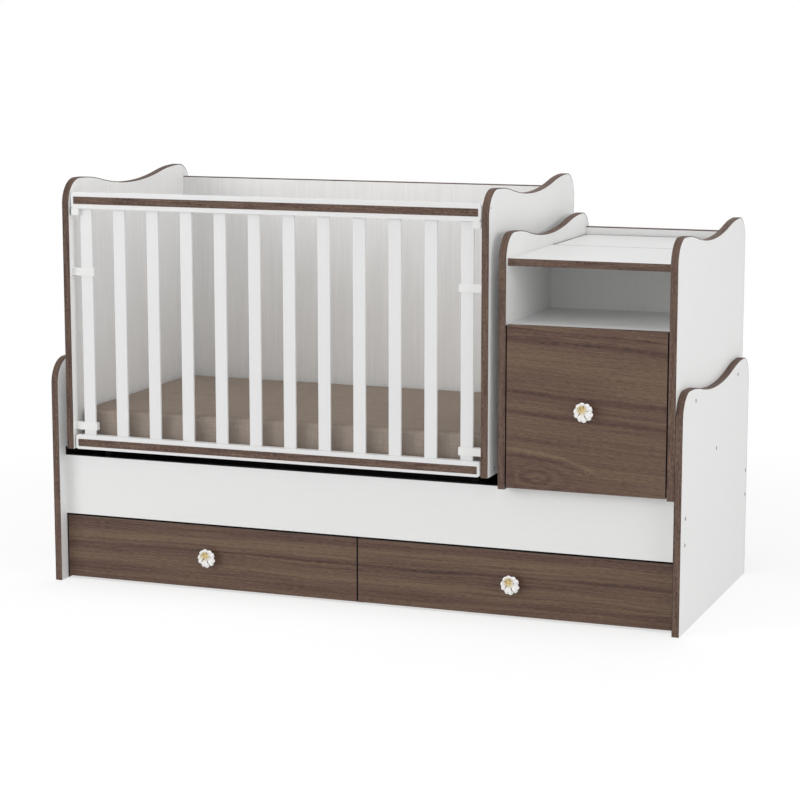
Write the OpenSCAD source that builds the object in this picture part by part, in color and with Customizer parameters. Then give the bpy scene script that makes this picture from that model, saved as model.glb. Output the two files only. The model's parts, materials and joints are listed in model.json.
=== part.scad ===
// Convertible crib: a long base with two drawers carries a swinging crib box
// with a drop side, and a changer cabinet with one deep drawer at the right.
// Millimetres, +X along the length, -Y the front, +Z up.
// The origin is on the floor, midway between the ends and between the
// cabinet's knob and the rear edges.

/* [Boards] */
// Thickness of the boards
board_t = 18; // [16:1:20]
// Thickness of the dark edge banding
band_t = 2; // [1:0.5:2]
// Gap between boards that are screwed or glued together
glue_gap = 0.1; // [0.05:0.05:0.2]

/* [Base] */
// Length of the base over its end panels
base_l = 1680; // [1600:10:1760]
// Depth of the end panels, front to rear
depth = 714; // [660:2:740]
// Height of the base end panels
base_h = 588; // [540:1:620]
// How far the front board and the drawer fronts stand back
front_recess = 36; // [34:1:44]
// How far the rear board stands in from the rear edge
rear_recess = 3; // [2:1:8]
// Underside of the front and rear boards above the floor
apron_z = 174.5; // [168:0.5:190]
// Height of the front and rear boards
apron_h = 155.5; // [148:0.5:170]

/* [Wave top] */
// Radius of the front and rear top corners
corner_r = 65; // [50:1:68]
// How far the valley dips below the two humps
wave_dip = 28.5; // [20:0.5:36]
// Distance of a hump's crest from the nearer edge
crest_in = 72; // [70:1:84]
// Radius of a hump's inner flank
crest_r = 545; // [400:5:600]

/* [Bed deck] */
// Thickness of the junior bed deck
bed_deck_t = 16; // [14:1:18]
// Side of the battens under the deck
batten = 20; // [16:1:22]
// Height of the battens above the boards' lower edge
batten_lift = 2; // [1:0.5:3]

/* [Crib box] */
// Gap between the crib and the base's left panel
side_gap = 30; // [24:1:36]
// Gap between the crib and the cabinet
cab_gap = 23; // [18:1:30]
// How far the crib hangs forward of the base
crib_fwd = 9; // [6:1:11]
// Gap between the base boards and the crib's end panels
crib_lift = 26; // [24:1:34]
// Height of the crib end panels
crib_h = 700; // [670:1:730]
// Top edge of the back panel below the humps
back_drop = 36; // [30:1:50]
// Back panel in from the rear edge of the end panels
back_recess = 22; // [2:1:30]
// Underside of the crib deck above the end panels' lower edge
deck_lift = 9; // [6:1:14]
// Thickness of the crib deck
crib_deck_t = 16; // [14:1:18]
// Running gap at the front edge of the deck
deck_front_gap = 4; // [3:0.5:8]
// Upper deck position above the lower one
level_step = 284; // [240:1:300]
// Deck bolts in from the front edge of the end panels
bolt_front = 43; // [40:1:50]
// Deck bolts in from the rear edge of the end panels
bolt_rear = 82; // [50:1:100]

/* [Mattress] */
// Thickness of the mattress at its edge
mattress_t = 80; // [60:1:110]
// Crown of the mattress
mattress_crown = 3; // [2:0.5:10]
// Clearance at the mattress's ends and back
mattress_gap = 5; // [4:0.5:8]
// Front of the mattress behind the rails
mattress_front = 14; // [8:1:20]
// Corner radius of the mattress
mattress_r = 14; // [8:1:70]
// How far its sides draw in between the corners
mattress_draw = 3; // [1:0.5:5]

/* [Drop side] */
// Rails stand back from the front edge of the end panels
rail_recess = 6; // [4:1:7]
// Thickness of the rails
rail_t = 18; // [17:1:18]
// Height of the top rail
rail_h = 42; // [38:1:46]
// Height of the bottom rail
low_rail_h = 38; // [36:1:42]
// Top rail below the humps
top_rail_drop = 33.5; // [28:0.5:42]
// Gap between the rails and the end panels
rail_gap = 4.5; // [4:0.5:6]
// Corner radius of the rails' ends
rail_r = 7; // [4:1:10]
// Corner radius of the strips
strip_r = 2; // [1:0.5:4]
// Height of the dark strips let into the rails
strip_h = 19; // [14:1:22]
// Strips below the rails' upper edge
strip_top = 11.5; // [8:0.5:12]
// Thickness of the strips
strip_t = 3; // [2:0.5:4]
// How far the strips stand proud
strip_proud = 0.5; // [0.5:0.1:1]
// Bare length of a rail at each end of its strip
strip_end = 7; // [5:1:12]
// Number of slats
slat_n = 12; // [10:1:13]
// Width of the slats
slat_w = 32; // [26:1:33]
// Thickness of the slats
slat_t = 7; // [6:1:8]
// How far the slats stand behind the middle of the rails
slat_set = 4.5; // [0:0.5:4.5]
// End slats' centre from the end panels
slat_edge = 41.5; // [39:0.5:48]
// Travel of the drop side
drop_travel = 125; // [100:1:150]

/* [Guides and latches] */
// Height of the slat guides
guide_h = 20; // [18:1:28]
// Rear wall of the slat guides
guide_wall = 5; // [3:0.5:5]
// Front wall of the slat guides
guide_lip = 1.5; // [1.5:0.5:3]
// Tip wall of the slat guides
guide_tip = 4.5; // [2:0.5:5]
// Sliding clearance round the end slats
guide_clear = 0.5; // [0.4:0.1:0.8]
// Gap between the lower guides and the bottom rail
guide_lift = 12; // [6:1:14]
// Gap left above the upper guides when the side is down
guide_stop = 11; // [2:1:12]
// Height of the latch housings under the top rail
latch_h = 17; // [16:1:22]
// Radius of the latch bolts
latch_r = 4; // [3:0.5:5]
// Running clearance of the latch bolts
latch_clear = 0.1; // [0.05:0.05:0.2]
// Length of the latch bolts
latch_l = 14; // [12:0.5:15]
// Travel of the latch bolts
latch_travel = 5; // [3:0.5:5]
// Clear gap between a bolt's nose and its keeper
nose_gap = 0.5; // [0.3:0.1:1]
// Thickness of the bolts' finger tabs
tab_t = 4; // [3:0.5:5]
// Width of the finger tabs
tab_w = 6; // [4:0.5:6]
// Finger tabs above the lower face of the housings
tab_lift = 2; // [1:0.5:4]
// Clearance of the bolts in their keepers
keeper_clear = 0.2; // [0.1:0.05:0.4]
// Thickness of the keeper plates
keeper_t = 2; // [1:0.5:3]
// Margin of a keeper plate round its hole
keeper_rim = 4; // [3:0.5:5]

/* [Swing] */
// Distance between the two pivots of a swing link
link_l = 66; // [52:1:70]
// Thickness of the swing links
link_t = 4; // [3:0.5:5]
// Radius of the links' eyes
link_r = 13; // [11:0.5:14]
// Thickness of the spacer washers at the pivots
washer_t = 2; // [1.8:0.1:3]
// Radius of the washers
washer_r = 11; // [9:0.5:12]
// Thickness of the pivot pins' heads
pin_head_t = 1.5; // [1:0.1:1.7]
// Radius of the pivot pins' heads
pin_head_r = 7; // [6.5:0.5:8]
// Radius of the pivot pins
pin_r = 5; // [4:0.5:6]
// Radial running clearance of the pivots
pin_clear = 0.08; // [0.05:0.01:0.1]
// Upper pivots below the boards' upper edge
pivot_drop = 20; // [16:1:22]
// Hanger boards below their pivots
hanger_edge = 16; // [14:1:16]
// Pivots in from the front and rear edges of the crib's end panels
pivot_in = 142; // [118:4:178]
// Ends of the hanger boards beyond their pivots
hanger_tail = 40; // [30:1:44]
// Swing stands in from the crib end panels
stand_in = 12; // [8:1:40]

/* [Cabinet] */
// Width of the cabinet
cab_w = 440; // [400:1:460]
// Height of the cabinet end panels
cab_h = 623; // [580:1:650]
// Changer top below the humps
top_drop = 60; // [54:1:80]
// Height of the open niche
niche_h = 141; // [110:1:170]
// Depth of the niche
niche_d = 365; // [330:1:390]
// Thickness of the wall behind the niche
inner_back_t = 16; // [14:1:18]
// Cabinet back in from the rear edge of the end panels
cab_back_recess = 16; // [10:1:24]
// Cabinet back above the changer top
back_rise = 21; // [14:1:28]
// Shadow gap beside the rear top board
lid_gap = 3.5; // [1.5:0.5:4]
// Shadow gap before and behind the rear top board
lid_slot = 4; // [1.5:0.5:5]
// Depth of the dark seal in that gap
seal_h = 6; // [4:1:10]
// Seal below the face of the rear top board
seal_set = 0.1; // [0.1:0.1:1]
// Changer top's front edge behind the front of the end panels
top_recess = 14; // [6:1:20]
// Front edge of the cabinet floor behind the drawer front
floor_set = 18; // [10:1:30]
// Gap between the shelf and the closed drawer front
shelf_gap = 0.4; // [0.3:0.1:2]

/* [Drawers] */
// Gap at the sides of the drawer fronts
front_gap = 3; // [2:0.5:4]
// Base drawer fronts above the floor
front_low = 6; // [4:1:14]
// Gap above the base drawer fronts
front_head = 4; // [2.5:0.5:5]
// Cabinet drawer front above the base boards
cab_front_low = 5; // [3:1:8]
// Thickness of the drawer sides
drawer_t = 16; // [14:1:18]
// Thickness of the drawer bottoms
drawer_floor_t = 8; // [6:1:10]
// Bottom's height inside the drawer
floor_inset = 6; // [4:1:10]
// Base drawers' box above the floor
box_low = 22; // [18:1:30]
// Base drawers' box height
box_h = 126; // [110:1:135]
// Base drawers' box length
box_l = 560; // [480:5:590]
// Cabinet drawer's box height
cab_box_h = 300; // [240:1:330]
// Cabinet drawer's box above the cabinet floor
cab_box_low = 14; // [8:1:24]
// Clear space behind the cabinet drawer
cab_box_rear = 22; // [10:1:40]
// Gap between the drawer sides and the panels
box_gap = 3; // [2:0.5:4]
// Thickness of the guide strips
strip_guide_t = 10; // [9:0.5:11]
// Height of the guide strips
strip_guide_h = 16; // [12:1:18]
// Running clearance of the guide strips
strip_clear = 0.5; // [0.4:0.1:0.8]
// Guide strips behind the drawer fronts
strip_set = 12; // [8:1:20]
// Groove's closed end ahead of its guide strip
groove_end = 2; // [1:0.5:4]

/* [Knobs] */
// Diameter of the blossom knobs
knob_d = 48; // [40:1:52]
// Height of the knobs off the drawer fronts
knob_h = 28; // [22:1:32]
// Radius of the knobs' stems
stem_r = 6; // [5:0.5:7]
// Number of petals
petals = 5; // [5:1:6]
// Turn of the first notch between two petals
petal_turn = 8; // [0:1:60]

/* [Fasteners] */
// Radius of the screws' shanks
screw_r = 3; // [2.5:0.5:3.5]
// Radius of the screws' heads
screw_head_r = 5; // [4.5:0.5:6]
// Thickness of the screws' heads
screw_head_t = 3; // [2:0.5:3]
// Length of the screws' shanks
screw_l = 46; // [35:1:60]
// Clearance of the screws in their holes
screw_clear = 0.05; // [0.05:0.01:0.1]
// Wood left beyond the end of a blind screw
screw_wall = 4; // [3:0.5:6]
// Lower screws of a board above its lower edge
screw_low = 42; // [30:1:50]
// Distance between a board's two screws
screw_step = 65; // [55:1:75]
// Outer cabinet bolts in from the front and rear edges
cab_bolt_in = 129; // [100:1:170]
// Upper cabinet bolts below the base panels' humps
cab_bolt_drop = 34; // [34:1:50]
// Middle cabinet bolt above the base boards
cab_bolt_low = 70; // [50:1:100]
// Stop pins below the crib's humps
stop_drop = 43; // [38:1:50]
// How far the stop pins stand proud
stop_proud = 1; // [0.5:0.5:2]

/* [Hidden] */
$fn = 48;
eps = 0.01;
arc_fn = 360;
white = [0.93, 0.93, 0.92];
walnut = [0.36, 0.29, 0.25];
steel = [0.72, 0.73, 0.75];
black_steel = [0.22, 0.22, 0.23];
taupe = [0.51, 0.46, 0.41];
plastic = [0.95, 0.95, 0.94];
dark = [0.16, 0.15, 0.14];
batten_wood = [0.80, 0.70, 0.55];

// Planes of the base
half_l = base_l / 2;
in_x = half_l - board_t;
mid_y = knob_h / 2;
front_y = mid_y - depth / 2;
rear_y = mid_y + depth / 2;
apron_y0 = front_y + front_recess;
apron_y1 = apron_y0 + board_t;
rear_y1 = rear_y - rear_recess;
rear_y0 = rear_y1 - board_t;
apron_top = apron_z + apron_h;
batten_z = apron_z + batten_lift;
bed_z0 = batten_z + batten;
bed_z1 = bed_z0 + bed_deck_t;
part_x = board_t / 2;

// Wave top: one circle for the valley and one for each hump, tangent to each other
crest_y = depth / 2 - crest_in;
arc_sum = (crest_y * crest_y + wave_dip * wave_dip) / (2 * wave_dip);
valley_r = arc_sum - crest_r;

// Planes of the cabinet
cab_x1 = in_x;
cab_x0 = cab_x1 - cab_w;
cab_in0 = cab_x0 + board_t;
cab_in1 = cab_x1 - board_t;
cab_z1 = apron_top + cab_h;
top_z1 = cab_z1 - top_drop;
top_z0 = top_z1 - board_t;
shelf_z1 = top_z0 - niche_h;
shelf_z0 = shelf_z1 - board_t;
niche_y = front_y + niche_d;
inner_back_y1 = niche_y + inner_back_t;
cab_back_y1 = rear_y - cab_back_recess;
cab_back_y0 = cab_back_y1 - board_t;
cab_floor_z1 = apron_top + board_t;
top_y0 = front_y + top_recess;
lid_y0 = inner_back_y1;

// Planes of the crib
crib_x0 = -in_x + side_gap;
crib_x1 = cab_x0 - cab_gap;
crib_in0 = crib_x0 + board_t;
crib_in1 = crib_x1 - board_t;
crib_mid = (crib_x0 + crib_x1) / 2;
crib_front = front_y - crib_fwd;
crib_rear = rear_y - crib_fwd;
crib_z0 = apron_top + crib_lift;
crib_z1 = crib_z0 + crib_h;
back_y1 = crib_rear - back_recess;
back_y0 = back_y1 - board_t;
back_top = crib_z1 - back_drop;
rail_y0 = crib_front + rail_recess;
rail_y1 = rail_y0 + rail_t;
rail_mid = (rail_y0 + rail_y1) / 2;
slat_y = rail_mid + slat_set;
rail_x0 = crib_in0 + rail_gap;
rail_x1 = crib_in1 - rail_gap;
top_rail_z1 = crib_z1 - top_rail_drop;
top_rail_z0 = top_rail_z1 - rail_h;
low_rail_z1 = crib_z0 + low_rail_h;
slat_x0 = crib_in0 + slat_edge;
slat_step = (crib_in1 - crib_in0 - 2 * slat_edge) / (slat_n - 1);
deck_z0 = crib_z0 + deck_lift;
deck_z1 = deck_z0 + crib_deck_t;
deck_y0 = rail_y1 + deck_front_gap;
bolt_y0 = crib_front + bolt_front;
bolt_y1 = crib_rear - bolt_rear;
bolt_z = deck_z0 + crib_deck_t / 2;
latch_z0 = top_rail_z0 - latch_h;
latch_z = top_rail_z0 - latch_h / 2;
guide_top_z = latch_z0 - drop_travel - guide_stop;
guide_low_z = low_rail_z1 + guide_lift;

// Swing: stand, washer, link, washer and hanger side by side at each end of the crib
pivot_top_z = apron_top - pivot_drop;
pivot_low_z = pivot_top_z - link_l;
pivot_y = depth / 2 - pivot_in;
swing_slot = link_t + 2 * washer_t;
swing_y = mid_y - crib_fwd;
stand_x0 = crib_in0 + stand_in;

// Drawers
left_front_x = [-in_x + front_gap, -front_gap / 2];
cab_front_x = [cab_in0 + front_gap, cab_in1 - front_gap];
front_z = [front_low, apron_z - front_head];
cab_front_z = [apron_top + cab_front_low, shelf_z1];
box_z = [box_low, box_low + box_h];
cab_box_z = [cab_floor_z1 + cab_box_low, cab_floor_z1 + cab_box_low + cab_box_h];
cab_front_y1 = front_y + board_t;
cab_box_y1 = niche_y - cab_box_rear;

// Helpers

// A box given by its low and high corners
module span(lo, hi) {
    translate(lo) cube(hi - lo);
}

// A round bar along X
module rod_x(x0, x1, y, z, r) {
    translate([min(x0, x1), y, z])
        rotate([0, 90, 0])
            cylinder(h = abs(x1 - x0), r = r);
}

// Extrudes a YZ outline along X, from x0 over the length t
module along_x(x0, t) {
    translate([x0, 0, 0])
        rotate([90, 0, 90])
            linear_extrude(t)
                children();
}

// Copies a left-hand piece to both ends of the crib
module crib_ends() {
    children();
    translate([2 * crib_mid, 0, 0]) mirror([1, 0, 0]) children();
}

// The right-hand one of a pair at the crib's ends
module crib_far_end() {
    translate([2 * crib_mid, 0, 0]) mirror([1, 0, 0]) children();
}

// Boards

// What the valley and the humps' flanks take off a panel's top
module wave_cut(z1, inset) {
    reach = valley_r + inset;
    turn_y = crest_y * reach / arc_sum;
    turn_z = z1 - wave_dip + valley_r - (arc_sum - wave_dip) * reach / arc_sum;
    intersection() {
        translate([0, z1 - wave_dip + valley_r]) circle(reach, $fn = arc_fn);
        translate([-turn_y, z1 - wave_dip - 2 * inset - 1])
            square([2 * turn_y, wave_dip + 2 * inset + 2]);
    }
    for (s = [-1, 1])
        difference() {
            translate([s > 0 ? turn_y - eps : -crest_y, turn_z])
                square([crest_y - turn_y + eps, z1 + 1 - turn_z]);
            translate([s * crest_y, z1 - crest_r]) circle(crest_r - inset, $fn = arc_fn);
        }
}

// Side view of an end panel, drawn in by an inset on every edge but the lower one
module wave_profile(z0, z1, inset) {
    half = depth / 2 - inset;
    r = corner_r - inset;
    difference() {
        union() {
            translate([-half, z0]) square([2 * half, z1 - corner_r - z0]);
            translate([-half + r, z0]) square([2 * (half - r), z1 - inset - z0]);
            for (s = [-1, 1])
                translate([s * (half - r), z1 - corner_r]) circle(r, $fn = 96);
        }
        wave_cut(z1, inset);
    }
}

// An end panel's white core
module end_panel(x0, y_mid, z0, z1) {
    translate([0, y_mid, 0])
        along_x(x0, board_t)
            wave_profile(z0, z1, band_t);
}

// The banding over an end panel's front, top and rear edges
module end_band(x0, y_mid, z0, z1) {
    translate([0, y_mid, 0])
        along_x(x0, board_t)
            difference() {
                wave_profile(z0, z1, 0);
                wave_profile(z0 - 1, z1, band_t);
            }
}

// Base

base_screw_y = [(apron_y0 + apron_y1) / 2, (rear_y0 + rear_y1) / 2];
base_screw_z = [apron_z + screw_low, apron_z + screw_low + screw_step];
cab_bolts = [[front_y + cab_bolt_in, base_h - cab_bolt_drop],
    [rear_y - cab_bolt_in, base_h - cab_bolt_drop], [mid_y, apron_top + cab_bolt_low]];

// One flat-headed screw driven in along X from an outer face, s is the side
module side_screw(s, y, z, l, grow) {
    rod_x(s * half_l, s * (half_l - screw_head_t - grow), y, z, screw_head_r + grow);
    rod_x(s * (half_l - screw_head_t), s * (half_l - screw_head_t - l), y, z, screw_r + grow);
}

module board_screws(grow) {
    for (s = [-1, 1], y = base_screw_y, z = base_screw_z)
        side_screw(s, y, z, screw_l, grow);
}

module cabinet_screws(grow) {
    for (p = cab_bolts)
        side_screw(1, p[0], p[1], 2 * board_t - screw_head_t - screw_wall, grow);
}

module base_screws() {
    color(steel) {
        board_screws(0);
        cabinet_screws(0);
    }
}

module base_left_panel() {
    color(white)
        difference() {
            end_panel(-half_l, mid_y, 0, base_h);
            board_screws(screw_clear);
        }
}

module base_right_panel() {
    color(white)
        difference() {
            end_panel(in_x, mid_y, 0, base_h);
            board_screws(screw_clear);
            cabinet_screws(screw_clear);
        }
}

module base_edge_bands() {
    color(walnut) {
        end_band(-half_l, mid_y, 0, base_h);
        end_band(in_x, mid_y, 0, base_h);
    }
}

module base_front_board() {
    color(white)
        difference() {
            span([-in_x, apron_y0, apron_z], [in_x, apron_y1, apron_top]);
            board_screws(screw_clear);
        }
}

module base_rear_board() {
    color(white)
        difference() {
            span([-in_x, rear_y0, apron_z], [in_x, rear_y1, apron_top]);
            board_screws(screw_clear);
        }
}

module base_partition() {
    color(white)
        span([-part_x, apron_y1 + glue_gap, 0], [part_x, rear_y0 - glue_gap, bed_z0]);
}

module deck_battens() {
    color(batten_wood)
        for (s = [-1, 1], y = [apron_y1, rear_y0 - batten])
            span([s > 0 ? part_x + glue_gap : -in_x, y, batten_z],
                [s > 0 ? in_x : -part_x - glue_gap, y + batten, bed_z0]);
}

module bed_deck() {
    color(dark)
        span([-in_x, apron_y1, bed_z0], [in_x, rear_y0, bed_z1]);
}

// Drawer guides: strips fixed to the panels, running in grooves of the drawer sides

module guide_strip(x, s, y0, y1, z) {
    span([s > 0 ? x : x - strip_guide_t, y0, z - strip_guide_h / 2],
        [s > 0 ? x + strip_guide_t : x, y1, z + strip_guide_h / 2]);
}

module base_drawer_guides() {
    z = (box_z[0] + box_z[1]) / 2;
    y0 = apron_y1 + strip_set;
    y1 = apron_y1 + box_l;
    color(batten_wood) {
        guide_strip(-in_x, 1, y0, y1, z);
        guide_strip(-part_x, -1, y0, y1, z);
        guide_strip(part_x, 1, y0, y1, z);
        guide_strip(in_x, -1, y0, y1, z);
    }
}

module cabinet_drawer_guides() {
    z = (cab_box_z[0] + cab_box_z[1]) / 2;
    color(batten_wood) {
        guide_strip(cab_in0, 1, cab_front_y1 + strip_set, cab_box_y1, z);
        guide_strip(cab_in1, -1, cab_front_y1 + strip_set, cab_box_y1, z);
    }
}

// Cabinet

module cabinet_left_panel() {
    color(white)
        end_panel(cab_x0, mid_y, apron_top, cab_z1);
}

module cabinet_right_panel() {
    color(white)
        difference() {
            end_panel(cab_in1, mid_y, apron_top, cab_z1);
            cabinet_screws(screw_clear);
        }
}

module cabinet_edge_bands() {
    color(walnut) {
        end_band(cab_x0, mid_y, apron_top, cab_z1);
        end_band(cab_in1, mid_y, apron_top, cab_z1);
        span([cab_in0, top_y0, top_z0], [cab_in1, top_y0 + band_t, top_z1]);
        span([cab_in0, cab_back_y0, top_z1 + back_rise - band_t],
            [cab_in1, cab_back_y1, top_z1 + back_rise]);
    }
}

module changer_top() {
    color(white)
        span([cab_in0, top_y0 + band_t, top_z0], [cab_in1, lid_y0 - lid_slot, top_z1]);
}

module rear_top_board() {
    color(white)
        span([cab_in0 + lid_gap, lid_y0, top_z0], [cab_in1 - lid_gap, cab_back_y0 - lid_slot, top_z1]);
}

// A dark seal round the rear top board, in its shadow gap
module lid_seal() {
    z1 = top_z1 - seal_set;
    color(dark)
        difference() {
            span([cab_in0, lid_y0 - lid_slot, z1 - seal_h], [cab_in1, cab_back_y0, z1]);
            span([cab_in0 + lid_gap, lid_y0, z1 - seal_h - 1],
                [cab_in1 - lid_gap, cab_back_y0 - lid_slot, z1 + 1]);
        }
}

module rear_board_battens() {
    color(batten_wood) {
        span([cab_in0, inner_back_y1, top_z0 - batten],
            [cab_in0 + batten, cab_back_y0, top_z0]);
        span([cab_in1 - batten, inner_back_y1, top_z0 - batten],
            [cab_in1, cab_back_y0, top_z0]);
    }
}

module cabinet_back_panel() {
    color(white)
        span([cab_in0, cab_back_y0, apron_top],
            [cab_in1, cab_back_y1, top_z1 + back_rise - band_t]);
}

module cabinet_shelf() {
    color(white)
        span([cab_in0, cab_front_y1 + shelf_gap, shelf_z0], [cab_in1, niche_y, shelf_z1]);
}

module cabinet_inner_back() {
    color(white)
        span([cab_in0, niche_y, cab_floor_z1], [cab_in1, inner_back_y1, top_z0]);
}

module cabinet_floor() {
    color(white)
        span([cab_in0, cab_front_y1 + floor_set, apron_top], [cab_in1, cab_back_y0, cab_floor_z1]);
}

// Crib box

// Holes of the two deck positions and of the latch keeper in a crib end panel
module crib_panel_holes() {
    for (y = [bolt_y0, bolt_y1], z = [bolt_z, bolt_z + level_step])
        rod_x(crib_x0 - 1, crib_in0 + 1, y, z, screw_r + screw_clear);
    rod_x(crib_x0 - 1, crib_in0 - screw_wall, rail_mid, crib_z1 - stop_drop, screw_r + screw_clear);
    keeper_pocket();
}

module keeper_pocket() {
    w = latch_r + keeper_rim;
    span([crib_in0 - keeper_t, rail_mid - w, latch_z - w], [crib_in0 + 1, rail_mid + w, latch_z + w]);
    rod_x(crib_in0 - keeper_t - latch_travel, crib_in0, rail_mid, latch_z, latch_r + keeper_clear);
}

module crib_left_panel() {
    color(white)
        difference() {
            end_panel(crib_x0, swing_y, crib_z0, crib_z1);
            crib_panel_holes();
        }
}

module crib_right_panel() {
    color(white)
        difference() {
            end_panel(crib_in1, swing_y, crib_z0, crib_z1);
            crib_far_end() crib_panel_holes();
        }
}

module crib_edge_bands() {
    color(walnut) {
        end_band(crib_x0, swing_y, crib_z0, crib_z1);
        end_band(crib_in1, swing_y, crib_z0, crib_z1);
        span([crib_in0, back_y0, back_top - band_t], [crib_in1, back_y1, back_top]);
    }
}

module crib_back_panel() {
    color(white)
        span([crib_in0, back_y0, crib_z0], [crib_in1, back_y1, back_top - band_t]);
}

module crib_deck() {
    color(white)
        difference() {
            span([crib_in0, deck_y0, deck_z0], [crib_in1, back_y0, deck_z1]);
            crib_ends() deck_bolts(screw_clear);
        }
}

// A round-headed bolt through the left end panel into the deck's edge
module deck_bolts(grow) {
    for (y = [bolt_y0, bolt_y1]) {
        rod_x(crib_x0 - screw_head_t, crib_x0, y, bolt_z, screw_head_r + grow);
        rod_x(crib_x0, crib_in0 + screw_l - board_t, y, bolt_z, screw_r + grow);
    }
}

module stop_pin() {
    rod_x(crib_x0 - stop_proud, crib_in0 - screw_wall - screw_clear, rail_mid, crib_z1 - stop_drop,
        screw_r);
}

module crib_bolts() {
    color(steel)
        crib_ends() {
            deck_bolts(0);
            stop_pin();
        }
}

module latch_keeper() {
    w = latch_r + keeper_rim - screw_clear;
    difference() {
        span([crib_in0 - keeper_t, rail_mid - w, latch_z - w], [crib_in0, rail_mid + w, latch_z + w]);
        rod_x(crib_in0 - keeper_t - 1, crib_in0 + 1, rail_mid, latch_z, latch_r + keeper_clear);
    }
}

module latch_keepers() {
    color(steel)
        crib_ends() latch_keeper();
}

// A guide holds the end slat against the end panel and lets it slide
module slat_guide(z0) {
    slot_x0 = slat_x0 - slat_w / 2 - guide_clear;
    slot_x1 = slat_x0 + slat_w / 2 + guide_clear;
    slot_t = slat_t / 2 + guide_clear;
    difference() {
        span([crib_in0, slat_y - slot_t - guide_lip, z0],
            [slot_x1 + guide_tip, slat_y + slot_t + guide_wall, z0 + guide_h]);
        span([slot_x0, slat_y - slot_t, z0 - 1], [slot_x1, slat_y + slot_t, z0 + guide_h + 1]);
    }
}

module slat_guides() {
    color(plastic)
        crib_ends() {
            slat_guide(guide_top_z - guide_h);
            slat_guide(guide_low_z);
        }
}

// Mattress: stacked rounded outlines, with a crown and drawn-in sides

mat_a = (crib_in1 - crib_in0) / 2 - mattress_gap;
mat_y0 = rail_y1 + mattress_front;
mat_y1 = back_y0 - mattress_gap;
mat_b = (mat_y1 - mat_y0) / 2;
mat_rings = [[5, 0], [1.5, 1.5], [0, 5], [0, 26], [0, 54], [0, 75], [1.5, 78.5], [5, 80], [30, 81.2],
    [90, 83.2], [180, 85], [250, 85.8]];
mat_arc_n = 6;
mat_run_n = 4;
mat_n = 4 * (mat_arc_n + 1 + mat_run_n);

// Height and share of the full side pull at a ring, for the real thickness and crown
function ring_z(k) = mat_rings[k][1] <= 80
    ? mat_rings[k][1] * mattress_t / 80
    : mattress_t + (mat_rings[k][1] - 80) * mattress_crown / 6;

function ring_pull(k) = mattress_draw * sin(180 * min(1, mat_rings[k][1] / 80));

// Point i on a rounded outline: corner arcs with straight runs between them
function mat_point(a, b, r, pull, i) = let(
    q = floor(i / (mat_arc_n + 1 + mat_run_n)),
    j = i - q * (mat_arc_n + 1 + mat_run_n),
    sx = [1, -1, -1, 1],
    sy = [1, 1, -1, -1],
    turn = 90 * q + 90 * min(j, mat_arc_n) / mat_arc_n,
    cx = sx[q] * (a - r),
    cy = sy[q] * (b - r),
    nx = sx[(q + 1) % 4] * (a - r),
    ny = sy[(q + 1) % 4] * (b - r),
    u = j > mat_arc_n ? (j - mat_arc_n) / (mat_run_n + 1) : 0,
    d = r - pull * sin(180 * u))
    [cx + (nx - cx) * u + d * cos(turn), cy + (ny - cy) * u + d * sin(turn)];

mat_points = [
    for (k = [0 : len(mat_rings) - 1], i = [0 : mat_n - 1])
        let(inset = mat_rings[k][0] * mat_b / 325,
            r = max(mattress_r - inset / 2, mattress_r / 5),
            p = mat_point(mat_a - inset, mat_b - inset, r, ring_pull(k), i))
        [p[0], p[1], ring_z(k)],
    [0, 0, 0],
    [0, 0, mattress_t + mattress_crown]];

mat_last = (len(mat_rings) - 1) * mat_n;
mat_foot = len(mat_rings) * mat_n;

mat_faces = [
    for (k = [0 : len(mat_rings) - 2], i = [0 : mat_n - 1], h = [0, 1])
        let(a = k * mat_n + i, b = k * mat_n + (i + 1) % mat_n)
        h == 0 ? [a, a + mat_n, b] : [b, a + mat_n, b + mat_n],
    for (i = [0 : mat_n - 1]) [mat_foot, i, (i + 1) % mat_n],
    for (i = [0 : mat_n - 1]) [mat_foot + 1, mat_last + (i + 1) % mat_n, mat_last + i]];

module mattress() {
    color(taupe)
        translate([crib_mid, (mat_y0 + mat_y1) / 2, deck_z1])
            polyhedron(mat_points, mat_faces);
}

// Swing: four links hang from two stands and carry the crib by its two hangers

// A pin along X with a washer against the board and a thin head, s is its direction
module pivot_pin(x, s, y, z) {
    rod_x(x - s * board_t, x + s * (washer_t + link_t + glue_gap), y, z, pin_r);
    rod_x(x, x + s * (washer_t - glue_gap), y, z, washer_r);
    rod_x(x + s * (washer_t + link_t + glue_gap), x + s * (washer_t + link_t + pin_head_t), y, z,
        pin_head_r);
}

module swing_stand() {
    color(dark)
        difference() {
            span([stand_x0, apron_y1 + glue_gap, bed_z1],
                [stand_x0 + board_t, rear_y0 - glue_gap, apron_top]);
            for (s = [-1, 1])
                rod_x(stand_x0 - 1, stand_x0 + board_t + 1, swing_y + s * pivot_y, pivot_top_z,
                    pin_r + screw_clear);
        }
}

module swing_hanger() {
    x = stand_x0 + board_t + swing_slot;
    color(dark)
        difference() {
            span([x, swing_y - pivot_y - hanger_tail, pivot_low_z - hanger_edge],
                [x + board_t, swing_y + pivot_y + hanger_tail, deck_z0]);
            for (s = [-1, 1])
                rod_x(x - 1, x + board_t + 1, swing_y + s * pivot_y, pivot_low_z,
                    pin_r + screw_clear);
        }
}

module swing_stand_left() {
    swing_stand();
}

module swing_stand_right() {
    crib_far_end() swing_stand();
}

module swing_hanger_left() {
    swing_hanger();
}

module swing_hanger_right() {
    crib_far_end() swing_hanger();
}

module stand_pins() {
    color(black_steel)
        crib_ends()
            for (s = [-1, 1])
                pivot_pin(stand_x0 + board_t, 1, swing_y + s * pivot_y, pivot_top_z);
}

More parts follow.
